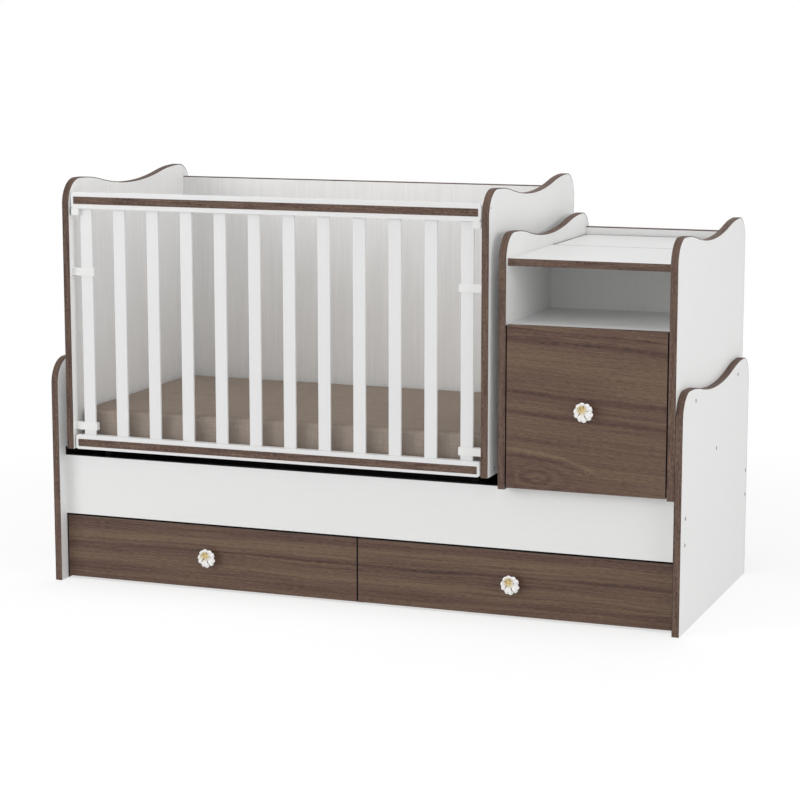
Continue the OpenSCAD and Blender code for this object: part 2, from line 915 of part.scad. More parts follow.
module hanger_pins() {
    color(black_steel)
        crib_ends()
            for (s = [-1, 1])
                pivot_pin(stand_x0 + board_t + swing_slot, -1, swing_y + s * pivot_y, pivot_low_z);
}

module swing_link(s) {
    y = swing_y + s * pivot_y;
    x0 = stand_x0 + board_t + washer_t;
    x1 = x0 + link_t;
    color(black_steel)
        difference() {
            union() {
                rod_x(x0, x1, y, pivot_top_z, link_r);
                rod_x(x0, x1, y, pivot_low_z, link_r);
                span([x0, y - link_r, pivot_low_z], [x1, y + link_r, pivot_top_z]);
            }
            rod_x(x0 - 1, x1 + 1, y, pivot_top_z, pin_r + pin_clear);
            rod_x(x0 - 1, x1 + 1, y, pivot_low_z, pin_r + pin_clear);
        }
}

module swing_link_front_left() {
    swing_link(-1);
}

module swing_link_rear_left() {
    swing_link(1);
}

module swing_link_front_right() {
    crib_far_end() swing_link(-1);
}

module swing_link_rear_right() {
    crib_far_end() swing_link(1);
}

// Drop side

// Front view of a bar with round corners
module bar_outline(x0, x1, z0, z1, r) {
    translate([x0 + r, z0]) square([x1 - x0 - 2 * r, z1 - z0]);
    translate([x0, z0 + r]) square([x1 - x0, z1 - z0 - 2 * r]);
    for (x = [x0 + r, x1 - r], z = [z0 + r, z1 - r])
        translate([x, z]) circle(r);
}

module bar(x0, x1, y0, y1, z0, z1, r) {
    translate([0, y1, 0])
        rotate([90, 0, 0])
            linear_extrude(y1 - y0)
                bar_outline(x0, x1, z0, z1, r);
}

module rail_strip(z1) {
    bar(rail_x0 + strip_end, rail_x1 - strip_end, rail_y0 - strip_proud,
        rail_y0 + strip_t - strip_proud, z1 - strip_top - strip_h, z1 - strip_top, strip_r);
}

module rail(z0, z1) {
    color(white)
        difference() {
            bar(rail_x0, rail_x1, rail_y0, rail_y1, z0, z1, rail_r);
            rail_strip(z1);
        }
}

module drop_top_rail() {
    rail(top_rail_z0, top_rail_z1);
}

module drop_bottom_rail() {
    rail(crib_z0, low_rail_z1);
}

module rail_strips() {
    color(walnut)
        for (z1 = [top_rail_z1, low_rail_z1])
            rail_strip(z1);
}

module drop_slats() {
    color(white)
        for (i = [0 : slat_n - 1])
            translate([slat_x0 + i * slat_step, slat_y, low_rail_z1])
                translate([-slat_w / 2, -slat_t / 2, 0])
                    cube([slat_w, slat_t, top_rail_z0 - low_rail_z1]);
}

// Latches: a bolt slides in a housing under each end of the top rail

latch_x0 = rail_x0;
latch_x1 = slat_x0 - slat_w / 2 - guide_clear;
bolt_x0 = crib_in0 + nose_gap;
bolt_x1 = bolt_x0 + latch_l;

module latch_housing() {
    slot = tab_w / 2 + latch_clear;
    difference() {
        span([latch_x0, rail_y0, latch_z0], [latch_x1, rail_y1, top_rail_z0]);
        rod_x(latch_x0 - 1, bolt_x1 + latch_travel + latch_clear, rail_mid, latch_z,
            latch_r + latch_clear);
        span([bolt_x1 - tab_t - latch_clear, rail_mid - slot, latch_z0 - 1],
            [bolt_x1 + latch_travel + latch_clear, rail_mid + slot, latch_z]);
    }
}

module latch_housings() {
    color(plastic)
        crib_ends() latch_housing();
}

module latch_bolt() {
    color(steel) {
        rod_x(bolt_x0, bolt_x1, rail_mid, latch_z, latch_r);
        span([bolt_x1 - tab_t, rail_mid - tab_w / 2, latch_z0 + tab_lift],
            [bolt_x1, rail_mid + tab_w / 2, latch_z]);
    }
}

module latch_bolt_left() {
    latch_bolt();
}

module latch_bolt_right() {
    crib_far_end() latch_bolt();
}

// Drawers

module drawer_front(x, y1, z) {
    color(walnut)
        span([x[0], y1 - board_t, z[0]], [x[1], y1, z[1]]);
}

// Two grooved sides, a back and a bottom, x is the clear space between the panels
module drawer_box(x, y0, y1, z) {
    mid = (z[0] + z[1]) / 2;
    groove = strip_guide_t - box_gap + strip_clear;
    slot = strip_guide_h / 2 + strip_clear;
    x0 = x[0] + box_gap;
    x1 = x[1] - box_gap;
    floor_z = z[0] + floor_inset;
    color(white) {
        difference() {
            span([x0, y0, z[0]], [x0 + drawer_t, y1, z[1]]);
            span([x0 - 1, y0 + strip_set - groove_end, mid - slot], [x0 + groove, y1 + 1, mid + slot]);
        }
        difference() {
            span([x1 - drawer_t, y0, z[0]], [x1, y1, z[1]]);
            span([x1 - groove, y0 + strip_set - groove_end, mid - slot], [x1 + 1, y1 + 1, mid + slot]);
        }
        span([x0 + drawer_t + glue_gap, y1 - drawer_t, z[0]],
            [x1 - drawer_t - glue_gap, y1, z[1]]);
        span([x0 + drawer_t + glue_gap, y0, floor_z],
            [x1 - drawer_t - glue_gap, y1 - drawer_t - glue_gap, floor_z + drawer_floor_t]);
    }
}

module left_drawer_front() {
    drawer_front(left_front_x, apron_y1, front_z);
}

module left_drawer_box() {
    drawer_box([-in_x, -part_x], apron_y1, apron_y1 + box_l, box_z);
}

module right_drawer_front() {
    mirror([1, 0, 0]) left_drawer_front();
}

module right_drawer_box() {
    mirror([1, 0, 0]) left_drawer_box();
}

module cabinet_drawer_front() {
    drawer_front(cab_front_x, cab_front_y1, cab_front_z);
}

module cabinet_drawer_box() {
    drawer_box([cab_in0, cab_in1], cab_front_y1, cab_box_y1, cab_box_z);
}

// Knobs: a stem that opens into a ruffled blossom with a cupped face

knob_n = 60;
// Share of the diameter, share of the height and share of the ruffle at each ring
knob_rings = [[0, 0, 0], [1, 0, 0], [1, 0.28, 0], [1.35, 0.42, 0.15], [2.6, 0.58, 0.7],
    [3.65, 0.80, 1], [3.92, 0.94, 1], [3.6, 1, 1], [2.7, 0.88, 0.8], [1.6, 0.76, 0.3],
    [0.9, 0.84, 0], [0.5, 0.9, 0]];

// Radius of a ring's point: the petals' outline, with a notch between petals
function petal(a) = 0.88 + 0.12 * pow(abs(sin(petals * (a - petal_turn) / 2)), 0.5);

function knob_point(k, i) = let(
    a = 360 * i / knob_n,
    ring = knob_rings[k],
    out = ring[0] <= 1.0 && k < 3 ? ring[0] * stem_r : ring[0] * knob_d / 2 / 3.92,
    r = out * (1 + ring[2] * (petal(a) - 1)),
    lift = k > 4 && k < 9 ? 1.2 * ring[2] * (cos(2 * petals * (a - petal_turn)) - 1) : 0)
    [r * cos(a), r * sin(a), ring[1] * knob_h + lift];

knob_points = [[0, 0, 0],
    for (k = [1 : len(knob_rings) - 1], i = [0 : knob_n - 1]) knob_point(k, i),
    [0, 0, 0.92 * knob_h]];

knob_last = 1 + (len(knob_rings) - 2) * knob_n;

knob_faces = [
    for (i = [0 : knob_n - 1]) [0, 1 + i, 1 + (i + 1) % knob_n],
    for (k = [0 : len(knob_rings) - 3], i = [0 : knob_n - 1], h = [0, 1])
        let(a = 1 + k * knob_n + i, b = 1 + k * knob_n + (i + 1) % knob_n)
        h == 0 ? [a, a + knob_n, b] : [b, a + knob_n, b + knob_n],
    for (i = [0 : knob_n - 1])
        [knob_last + i, len(knob_points) - 1, knob_last + (i + 1) % knob_n]];

module knob(x, y, z) {
    color(plastic)
        translate([x, y, z])
            rotate([90, 0, 0])
                polyhedron(knob_points, knob_faces);
}

module left_drawer_knob() {
    knob((left_front_x[0] + left_front_x[1]) / 2, apron_y0, (front_z[0] + front_z[1]) / 2);
}

module right_drawer_knob() {
    knob(-(left_front_x[0] + left_front_x[1]) / 2, apron_y0, (front_z[0] + front_z[1]) / 2);
}

module cabinet_drawer_knob() {
    knob((cab_front_x[0] + cab_front_x[1]) / 2, front_y, (cab_front_z[0] + cab_front_z[1]) / 2);
}

base_left_panel();
base_right_panel();
base_edge_bands();
base_front_board();
base_rear_board();
base_partition();
bed_deck();
deck_battens();
base_screws();
base_drawer_guides();
swing_stand_left();
swing_stand_right();
stand_pins();
cabinet_left_panel();
cabinet_right_panel();
cabinet_edge_bands();
changer_top();
rear_top_board();
lid_seal();
rear_board_battens();
cabinet_back_panel();
cabinet_shelf();
cabinet_inner_back();
cabinet_floor();
cabinet_drawer_guides();
crib_left_panel();
crib_right_panel();
crib_edge_bands();
crib_back_panel();
crib_deck();
mattress();
swing_hanger_left();
swing_hanger_right();
hanger_pins();
slat_guides();
latch_keepers();
crib_bolts();
swing_link_front_left();
swing_link_front_right();
swing_link_rear_left();
swing_link_rear_right();
drop_top_rail();
drop_bottom_rail();
rail_strips();
drop_slats();
latch_housings();
latch_bolt_left();
latch_bolt_right();
left_drawer_front();
left_drawer_box();
left_drawer_knob();
right_drawer_front();
right_drawer_box();
right_drawer_knob();
cabinet_drawer_front();
cabinet_drawer_box();
cabinet_drawer_knob();
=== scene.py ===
# Convertible crib: the looks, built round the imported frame. Lengths are in metres.

import json
import math

import bmesh
import bpy
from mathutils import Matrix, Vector, noise


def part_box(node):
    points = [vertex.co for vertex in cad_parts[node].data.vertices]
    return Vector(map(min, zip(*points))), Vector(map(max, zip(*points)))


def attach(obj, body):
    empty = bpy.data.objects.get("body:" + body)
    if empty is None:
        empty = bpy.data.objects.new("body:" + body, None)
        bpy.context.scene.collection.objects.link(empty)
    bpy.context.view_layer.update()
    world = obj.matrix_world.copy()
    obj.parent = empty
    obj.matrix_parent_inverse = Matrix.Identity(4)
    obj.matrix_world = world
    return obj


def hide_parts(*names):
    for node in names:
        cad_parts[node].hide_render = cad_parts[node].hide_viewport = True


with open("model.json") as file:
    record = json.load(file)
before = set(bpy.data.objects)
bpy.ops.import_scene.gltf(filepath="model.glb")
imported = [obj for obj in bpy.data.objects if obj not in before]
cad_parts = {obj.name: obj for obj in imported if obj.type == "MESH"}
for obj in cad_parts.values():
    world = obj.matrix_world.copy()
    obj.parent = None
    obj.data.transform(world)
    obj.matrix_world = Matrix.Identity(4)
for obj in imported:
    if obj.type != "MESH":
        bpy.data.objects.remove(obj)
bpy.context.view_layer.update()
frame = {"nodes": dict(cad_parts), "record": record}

WHITE = (0.82, 0.82, 0.815)
# Lighter and darker copies of the white board: painted light on the crib's back board, painted
# shade on the niche's inner back
LIT_WHITE = (0.90, 0.895, 0.885)
SHADED_WHITE = (0.74, 0.74, 0.735)
LACQUER = (0.775, 0.775, 0.775)
PLASTIC = (0.80, 0.80, 0.79)
STEEL = (0.55, 0.55, 0.56)
SCREW_STEEL = (0.12, 0.12, 0.125)
# Near-black steel: painted shade for the parts in the gap under the crib
SHADE_DARK_STEEL = (0.045, 0.045, 0.047)
# Near-black, used only for painted shade: shaded gaps, edges and slots, and the dark pieces put in
# them
SHADE_BLACK = (0.012, 0.010, 0.009)
PINE = (0.62, 0.47, 0.31)
RED_WALNUT = (0.128, 0.069, 0.051)
BROWN_WALNUT = (0.119, 0.078, 0.049)
PALE_EDGE = (0.141, 0.092, 0.074)
DEEP_EDGE = (0.129, 0.088, 0.067)
TAUPE = (0.327, 0.260, 0.2095)
# A lighter taupe for the mattress's sides: painted light
LIT_TAUPE = (0.416, 0.345, 0.291)
PORCELAIN = (0.89, 0.885, 0.875)
GOLD = (0.78, 0.60, 0.27)
POLLEN = (0.84, 0.76, 0.46)

# How deep the grain of the boards and of the brushed steel is
PORE_DEPTH = 0.00012
BRUSH_DEPTH = 0.00005

# How far the edges of the boards are rounded
EDGE_ROUND = 0.0005

# The dark line between two edge bands, and the painted shade lines on the drawer fronts by their
# side and top edges, which are painted shade too
SEAM_WIDTH = 0.0024
SHADE_SIDE_LINE = 0.0006
SHADE_TOP_LINE = 0.0010

# How far the painted shade reaches on the panel faces seen through the slot under the crib and
# through the gap beside the cabinet's drawer
SLOT_BACK = 0.30
SLOT_TOP = 0.352
DRAWER_GAP_BACK = -0.300
DRAWER_GAP_TOP = 0.731

THREAD_PITCH = 0.0011

# Less than any gap: keeps a limit off the face that it is taken from
HAIR = 0.0001


# Camera

CAMERA_PLACE = (2.163, -5.744, 1.476)
CAMERA_TILT = math.radians(80.74)
CAMERA_TURN = math.radians(20.64)
CAMERA_LENS = 107.1


def put_in_scene(name, data):
    thing = bpy.data.objects.new(name, data)
    bpy.context.scene.collection.objects.link(thing)
    return thing


def make_camera():
    data = bpy.data.cameras.new("camera")
    data.sensor_width = 36
    data.lens = CAMERA_LENS
    data.clip_start = 0.1
    data.clip_end = 60
    camera = put_in_scene("camera", data)
    camera.location = CAMERA_PLACE
    camera.rotation_euler = (CAMERA_TILT, 0, CAMERA_TURN)
    bpy.context.scene.camera = camera


# Finishes

class Finish:
    """One node material, and short calls for the nodes that the finishes share."""

    def __init__(self, name, roughness, metallic=0.0):
        self.material = bpy.data.materials.new(name)
        self.material.use_nodes = True
        self.nodes = self.material.node_tree.nodes
        self.links = self.material.node_tree.links
        self.shader = self.nodes["Principled BSDF"]
        self.roughness = roughness
        self.shader.inputs["Metallic"].default_value = metallic
        place = self.nodes.new("ShaderNodeTexCoord")
        apart = self.nodes.new("ShaderNodeSeparateXYZ")
        self.links.new(place.outputs["Object"], apart.inputs[0])
        self.x, self.y, self.z = apart.outputs

    def feed(self, socket, value):
        if isinstance(value, bpy.types.NodeSocket):
            self.links.new(value, socket)
        else:
            socket.default_value = value

    def maths(self, operation, a, b=0.0):
        """One math node on sockets or numbers."""
        node = self.nodes.new("ShaderNodeMath")
        node.operation = operation
        self.feed(node.inputs[0], a)
        self.feed(node.inputs[1], b)
        return node.outputs[0]

    def total(self, *values):
        result = values[0]
        for value in values[1:]:
            result = self.maths("ADD", result, value)
        return result

    def times(self, a, b):
        return self.maths("MULTIPLY", a, b)

    def away(self, value, centre):
        """How far value is from centre."""
        return self.maths("ABSOLUTE", self.maths("SUBTRACT", value, centre))

    def spread(self, value, low, high, to_low=0.0, to_high=1.0):
        """Runs smoothly from to_low to to_high while value goes from low to high."""
        node = self.nodes.new("ShaderNodeMapRange")
        node.interpolation_type = "SMOOTHSTEP"
        self.feed(node.inputs["Value"], value)
        node.inputs["From Min"].default_value = low
        node.inputs["From Max"].default_value = high
        node.inputs["To Min"].default_value = to_low
        node.inputs["To Max"].default_value = to_high
        return node.outputs["Result"]

    def band(self, value, centre, width):
        """One at centre, falling to nothing at width away from it."""
        return self.spread(self.away(value, centre), 0, width, 1, 0)

    def noise(self, x, y, z, detail=2.0, rough=0.5, swirl=0.0):
        """Noise about zero, from about -0.5 to 0.5, at the point x, y, z."""
        point = self.nodes.new("ShaderNodeCombineXYZ")
        for socket, value in zip(point.inputs, (x, y, z)):
            self.feed(socket, value)
        node = self.nodes.new("ShaderNodeTexNoise")
        self.links.new(point.outputs[0], node.inputs["Vector"])
        node.inputs["Scale"].default_value = 1.0
        node.inputs["Detail"].default_value = detail
        node.inputs["Roughness"].default_value = rough
        node.inputs["Distortion"].default_value = swirl
        return self.maths("SUBTRACT", node.outputs["Fac"], 0.5)

    def grain(self, x, y, z, detail=2.0, rough=0.5):
        """Noise at this many waves per metre along each of the object's axes."""
        point = self.times(self.x, x), self.times(self.y, y), self.times(self.z, z)
        return self.noise(*point, detail, rough)

    def colour(self, base, *tones):
        """The base colour, made lighter or darker by the tones' sum."""
        shade = self.total(1.0, *tones) if tones else 1.0
        node = self.nodes.new("ShaderNodeVectorMath")
        node.operation = "SCALE"
        self.feed(node.inputs[0], base)
        self.feed(node.inputs["Scale"], shade)
        return node.outputs[0]

    def mix(self, amount, a, b):
        """The colour a where amount is nothing, b where it is one."""
        node = self.nodes.new("ShaderNodeMix")
        node.data_type = "RGBA"
        self.feed(node.inputs["Factor"], amount)
        self.feed(node.inputs[6], a if isinstance(a, bpy.types.NodeSocket) else (*a, 1))
        self.feed(node.inputs[7], b if isinstance(b, bpy.types.NodeSocket) else (*b, 1))
        return node.outputs[2]

    def facing(self):
        """The way the surface faces, taken apart along the object's axes."""
        place = self.nodes.new("ShaderNodeTexCoord")
        apart = self.nodes.new("ShaderNodeSeparateXYZ")
        self.links.new(place.outputs["Normal"], apart.inputs[0])
        return apart

    def paint(self, colour):
        self.links.new(colour, self.shader.inputs["Base Color"])

    def matt(self, *tones):
        """The finish's roughness, raised or lowered by the tones' sum."""
        self.links.new(self.total(self.roughness, *tones), self.shader.inputs["Roughness"])

    def relief(self, height, depth):
        """Raises the surface by height, which is about one tall, times depth."""
        node = self.nodes.new("ShaderNodeBump")
        node.inputs["Strength"].default_value = 1.0
        node.inputs["Distance"].default_value = depth
        self.feed(node.inputs["Height"], height)
        self.links.new(node.outputs["Normal"], self.shader.inputs["Normal"])


def middle_x(node):
    low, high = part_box(node)
    return (low.x + high.x) / 2


def board_finish(name, base, across, shown=1.0, painted_shade_part=None, shade_corner_x=None):
    """White melamine. Pores pressed into it run along the grain, and show in the colour by shown.
    It is painted near-black as shade where the part it is given says so, and darker near the corner
    at this x as painted shade."""
    f = Finish(name, 0.42)
    fine, slow = (420, 9) if across == "x" else (9, 420)
    pores = f.grain(fine, fine, slow, 3, 0.65)
    fibre = f.grain(fine * 0.3, fine * 0.3, slow * 0.6, 2, 0.6)
    cloud = f.grain(3, 3, 2)
    tones = [f.times(pores, 0.12 * shown), f.times(fibre, 0.10 * shown), f.times(cloud, 0.03)]
    if shade_corner_x is not None:
        # Painted shade towards the corner
        tones.append(f.times(f.band(f.x, shade_corner_x, 0.30), -0.13))
    painted = f.colour(base, *tones)
    # Painted shade: near-black on the part picked
    if painted_shade_part:
        painted = f.mix(painted_shade_part(f), painted, SHADE_BLACK)
    f.paint(painted)
    f.matt(f.times(pores, 0.25), f.times(cloud, 0.1))
    f.relief(f.total(pores, fibre), PORE_DEPTH)
    return f.material


def shade_behind_gap(node, low_y, high_y, high_z):
    """Picks the part of a left panel's inner face that only a narrow gap looks onto, to be painted
    shade.
    """
    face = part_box(node)[1].x

    def part(f):
        on_face = f.maths("GREATER_THAN", f.x, face - EDGE_ROUND - HAIR)
        within = f.times(f.maths("GREATER_THAN", f.y, low_y), f.maths("LESS_THAN", f.y, high_y))
        return f.times(f.times(on_face, within), f.maths("LESS_THAN", f.z, high_z))

    return part


def shaded_top_faces(f):
    """Picks the faces that look up, to be painted shade."""
    return f.spread(f.facing().outputs["Z"], 0.4, 0.7)


def panel_finish(name, node, side):
    """A crib panel. Its inner face, towards +x or -x as side says, is grained, and painted lighter
    as painted light.
    """
    f = Finish(name, 0.42)
    pores = f.grain(420, 420, 9, 3, 0.65)
    fibre = f.grain(110, 110, 4, 2, 0.6)
    cloud = f.grain(3, 3, 2)
    inside = f.maths("GREATER_THAN", f.times(f.maths("SUBTRACT", f.x, middle_x(node)), side), 0.0)
    strength = f.total(0.25, f.times(inside, 0.9))
    # The inner face's last tone makes it lighter: painted light
    tones = (f.times(f.times(pores, 0.14), strength), f.times(f.times(fibre, 0.16), strength),
             f.times(cloud, 0.03), f.times(inside, 0.10))
    f.paint(f.colour(WHITE, *tones))
    f.matt(f.times(pores, 0.25), f.times(cloud, 0.1))
    f.relief(f.total(pores, fibre), PORE_DEPTH)
    return f.material


def lacquer_finish():
    """Sprayed satin lacquer: a faint orange peel and a little unevenness in its gloss."""
    f = Finish("white_lacquer", 0.32)
    peel = f.grain(260, 260, 180, 2, 0.5)
    cloud = f.grain(14, 14, 5, 2, 0.5)
    f.paint(f.colour(LACQUER, f.times(cloud, 0.035), f.times(peel, 0.02)))
    f.matt(f.times(cloud, 0.2))
    f.relief(peel, depth=0.00008)
    return f.material


def plastic_finish():
    f = Finish("white_plastic", 0.38)
    speckle = f.grain(900, 900, 900, 2, 0.6)
    cloud = f.grain(30, 30, 30)
    f.paint(f.colour(PLASTIC, f.times(cloud, 0.05)))
    f.matt(f.times(speckle, 0.3))
    f.relief(speckle, depth=0.00004)
    return f.material


def steel_finish(name, base):
    """Plated steel: brushed, with slightly uneven plating."""
    f = Finish(name, 0.36, 1.0)
    brushed = f.grain(60, 900, 900, 3, 0.6)
    cloud = f.grain(120, 120, 120, 2, 0.6)
    f.paint(f.colour(base, f.times(brushed, 0.2), f.times(cloud, 0.25)))
    f.matt(f.times(brushed, 0.3), f.times(cloud, 0.2))
    f.relief(brushed, BRUSH_DEPTH)
    return f.material


def shade_dark_steel_finish():
    """Steel made near-black as painted shade for the parts seen in the gap under the crib, with the
    same brushing under a dark, satin layer.
    """
    f = Finish("black_steel", 0.45, 0.6)
    brushed = f.grain(60, 900, 900, 3, 0.6)
    cloud = f.grain(120, 120, 120, 2, 0.6)
    f.paint(f.colour(SHADE_DARK_STEEL, f.times(brushed, 0.3), f.times(cloud, 0.3)))
    f.matt(f.times(brushed, 0.3), f.times(cloud, 0.2))
    f.relief(brushed, BRUSH_DEPTH)
    return f.material


# The seal in the gaps round the rear top board: a near-black strip put there as painted shade of
# the gaps
def shade_seal_finish():
    f = Finish("black_seal", 0.75)
    f.shader.inputs["Specular IOR Level"].default_value = 0.0
    speckle = f.grain(1500, 1500, 1500, 2, 0.6)
    f.paint(f.colour(SHADE_BLACK, f.times(speckle, 0.4)))
    f.matt(f.times(speckle, 0.2))
    f.relief(speckle, depth=0.00005)
    return f.material


def shade_board_finish():
    """Hardboard painted near-black as the shade of the gap under the crib, for the boards that the
    gap looks onto.
    """
    f = Finish("dark_board", 0.6)
    f.shader.inputs["Specular IOR Level"].default_value = 0.1
    pores = f.grain(420, 30, 30, 3, 0.6)
    cloud = f.grain(9, 9, 9)
    f.paint(f.colour(SHADE_BLACK, f.times(pores, 0.4), f.times(cloud, 0.3)))
    f.matt(f.times(pores, 0.2))
    f.relief(pores, depth=0.0001)
    return f.material


def pine_finish():
    f = Finish("plain_wood", 0.62)
    rings = f.grain(5, 220, 220, 2, 0.5)
    fibre = f.grain(30, 1500, 1500, 3, 0.6)
    f.paint(f.colour(PINE, f.times(rings, 0.5), f.times(fibre, 0.3)))
    f.matt(f.times(rings, 0.2))
    f.relief(f.total(rings, fibre), depth=0.0001)
    return f.material


def between(left, right):
    """The x of two panels' inner faces, a hair inside the room between them."""
    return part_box(left)[1].x + HAIR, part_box(right)[0].x - HAIR


def edge_finish(name, low_x=0.0, high_x=0.0, left=0.0, seam=None):
    """Walnut edge band: its grain runs along the band, which lies along x between low_x and high_x.
    Left of low_x it is lighter or darker by left. A dark line marks a seam at that x."""
    f = Finish(name, 0.5)
    f.shader.inputs["Specular IOR Level"].default_value = 0.06
    along_x = f.times(f.maths("GREATER_THAN", f.x, low_x), f.maths("LESS_THAN", f.x, high_x))
    aside = f.maths("SUBTRACT", 1.0, along_x)
    across = f.total(f.times(f.x, aside), f.times(f.total(f.y, f.z), along_x))
    along = f.total(f.times(f.total(f.y, f.times(f.z, 1.1)), aside), f.times(f.x, along_x))
    drift = f.noise(f.times(along, 7), f.times(across, 30), 0.0)
    across = f.total(across, f.times(drift, 0.008))
    streaks = f.noise(f.times(across, 520), f.times(along, 14), 0.0, 3, 0.6)
    figure = f.noise(f.times(across, 150), f.times(along, 9), 3.0, 2, 0.5, 0.6)
    flecks = f.noise(f.times(across, 420), f.times(along, 95), 5.0, 3, 0.6)
    warm = f.mix(f.spread(figure, -0.15, 0.2), PALE_EDGE, DEEP_EDGE)
    # Painted shade: the upward faces of the bands that run along x are darker
    shaded_tops = f.times(f.spread(f.facing().outputs["Z"], 0.8, 0.95), along_x)
    tones = [f.times(streaks, 1.3), f.times(figure, 1.4), f.times(flecks, 2.0),
             f.times(shaded_tops, -0.35), f.times(f.maths("LESS_THAN", f.x, low_x), left)]
    if seam is not None:
        tones.append(f.times(f.band(f.x, seam, SEAM_WIDTH), -0.8))
    f.paint(f.colour(warm, *tones))
    f.matt(f.times(streaks, 0.3))
    f.relief(f.total(streaks, flecks), depth=0.00015)
    return f.material


class Walnut(Finish):
    """Walnut laminate on a drawer front. Its grain runs along x and leans by slope."""

    def __init__(self, name, node, slope):
        super().__init__(name, 0.46)
        self.shader.inputs["Specular IOR Level"].default_value = 0.3
        self.low, self.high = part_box(node)
        self.middle = middle_x(node)
        drift = self.noise(self.times(self.x, 2.2), self.times(self.z, 7), 1.0, 2, 0.5)
        ripple = self.noise(self.times(self.x, 9), self.times(self.z, 30), 2.0, 2, 0.5)
        lean = self.times(self.maths("SUBTRACT", self.x, self.middle), slope)
        self.level = self.total(self.z, lean, self.times(drift, 0.022), self.times(ripple, 0.004))
        self.tones = []

    def streaks(self, tall, long, amount, seed, detail=3):
        """Noise at tall waves per metre across the grain and long along it."""
        across, along = self.times(self.level, tall), self.times(self.x, long)
        value = self.noise(along, seed, across, detail, 0.6)
        self.tones.append(self.times(value, amount))
        return value

    def line(self, share, width, amount):
        """A lighter or darker line of the grain at this share of the front's height."""
        height = self.low.z + share * (self.high.z - self.low.z)
        self.tones.append(self.times(self.band(self.level, height, width), amount))

    def on_front(self, shade_top):
        """One on the front; nothing on the side edges or on the thin line along them at the front's
        ends, which are painted shade of the gaps beside the front.
        """
        facing = self.facing()
        aside = self.away(self.x, self.middle)
        inner = self.maths("LESS_THAN", aside, (self.high.x - self.low.x) / 2 - SHADE_SIDE_LINE)
        shown = self.times(self.spread(self.away(facing.outputs["X"], 0.0), 0.3, 0.6, 1, 0), inner)
        # The top face and a thin line under it can be painted shade too
        if shade_top:
            under = self.maths("LESS_THAN", self.z, self.high.z - SHADE_TOP_LINE)
            level = self.spread(facing.outputs["Z"], 0.3, 0.6, 1, 0)
            shown = self.times(shown, self.times(level, under))
        return shown

    def done(self, shade_top):
        pores = self.noise(self.times(self.x, 45), 7.0, self.times(self.level, 1900), 2, 0.6)
        dashes = self.streaks(400, 62, 1.3, 83.0)
        self.tones.append(self.times(pores, 0.3))
        figure = self.total(*self.tones)
        tint = self.mix(self.spread(figure, -0.35, 0.35), RED_WALNUT, BROWN_WALNUT)
        shown = self.colour(tint, figure)
        # Near-black painted shade on the edges and on the thin lines by them
        self.paint(self.mix(self.on_front(shade_top), SHADE_BLACK, shown))
        self.matt(self.times(pores, 0.25), self.times(figure, -0.08))
        self.relief(self.total(pores, dashes, self.times(figure, 0.5)), PORE_DEPTH)
        return self.material


def base_front_finish(name, node):
    f = Walnut(name, node, slope=0.0)
    f.streaks(60, 1.6, 1.0, 0.0, 2)
    f.streaks(260, 3.5, 1.3, 11.0)
    f.streaks(900, 9, 0.8, 23.0)
    f.line(0.92, 0.020, -0.26)
    f.line(0.575, 0.0065, -0.42)
    f.line(0.50, 0.018, -0.12)
    f.line(0.35, 0.012, 0.20)
    f.line(0.17, 0.014, -0.20)
    f.line(0.74, 0.022, 0.16)
    return f.done(shade_top=True)


def cabinet_front_finish():
    f = Walnut("walnut_cabinet_front", "cabinet_drawer_front", slope=0.062)
    low, tall = f.low, f.high.z - f.low.z
    f.streaks(30, 1.6, 0.7, 40.0, 2)
    f.streaks(160, 3.5, 1.0, 51.0)
    f.streaks(700, 9, 0.8, 63.0)
    f.line(0.952, 0.006, -0.34)
    f.line(0.925, 0.030, -0.14)
    f.line(0.885, 0.013, -0.28)
    f.line(0.567, 0.013, -0.40)
    f.line(0.520, 0.020, -0.16)
    f.line(0.485, 0.006, 0.22)
    f.line(0.445, 0.010, -0.26)
    f.line(0.74, 0.050, 0.14)
    fine = f.noise(f.times(f.x, 13), 71.0, f.times(f.level, 210), 3, 0.6)
    f.tones.append(f.times(f.times(fine, 1.5), f.band(f.level, low.z + 0.93 * tall, 0.055)))
    arc(f, low)
    return f.done(shade_top=False)


def arc(f, low):
    """The light arc low on the cabinet's front, the knot at its end and the swirl under it."""
    knot_x, knot_z = low.x + 0.206, low.z + 0.052
    run = f.maths("SUBTRACT", f.x, low.x)
    height = f.total(f.z, f.times(f.times(run, run), 0.88), f.times(f.grain(25, 1, 60, 2), 0.008))
    fade = f.spread(f.x, knot_x - 0.01, knot_x + 0.03, 1, 0)
    light = f.times(f.band(height, low.z + 0.097, 0.007), fade)
    dark = f.times(f.band(height, low.z + 0.083, 0.008), fade)
    under = f.times(f.spread(height, low.z + 0.05, low.z + 0.09, 1, 0), fade)
    apart = f.maths("SQRT", f.total(f.maths("POWER", f.away(f.x, knot_x), 2.0),
                                    f.maths("POWER", f.times(f.away(f.z, knot_z), 1.5), 2.0)))
    ring = f.band(apart, 0.006, 0.004)
    core = f.band(apart, 0.0, 0.004)
    across = f.times(f.away(f.x, low.x + 0.078), 0.45)
    island = f.maths("SQRT", f.total(f.maths("POWER", across, 2.0),
                                     f.maths("POWER", f.away(f.z, low.z + 0.029), 2.0)))
    swirl = f.maths("SINE", f.times(f.total(island, f.times(f.grain(22, 1, 45, 3), 0.030)), 330))
    swirl = f.times(swirl, f.band(island, 0.0, 0.06))
    f.tones += [f.times(light, 0.36), f.times(dark, -0.26), f.times(under, -0.12),
                f.times(ring, 0.34), f.times(core, -0.5), f.times(swirl, 0.20)]


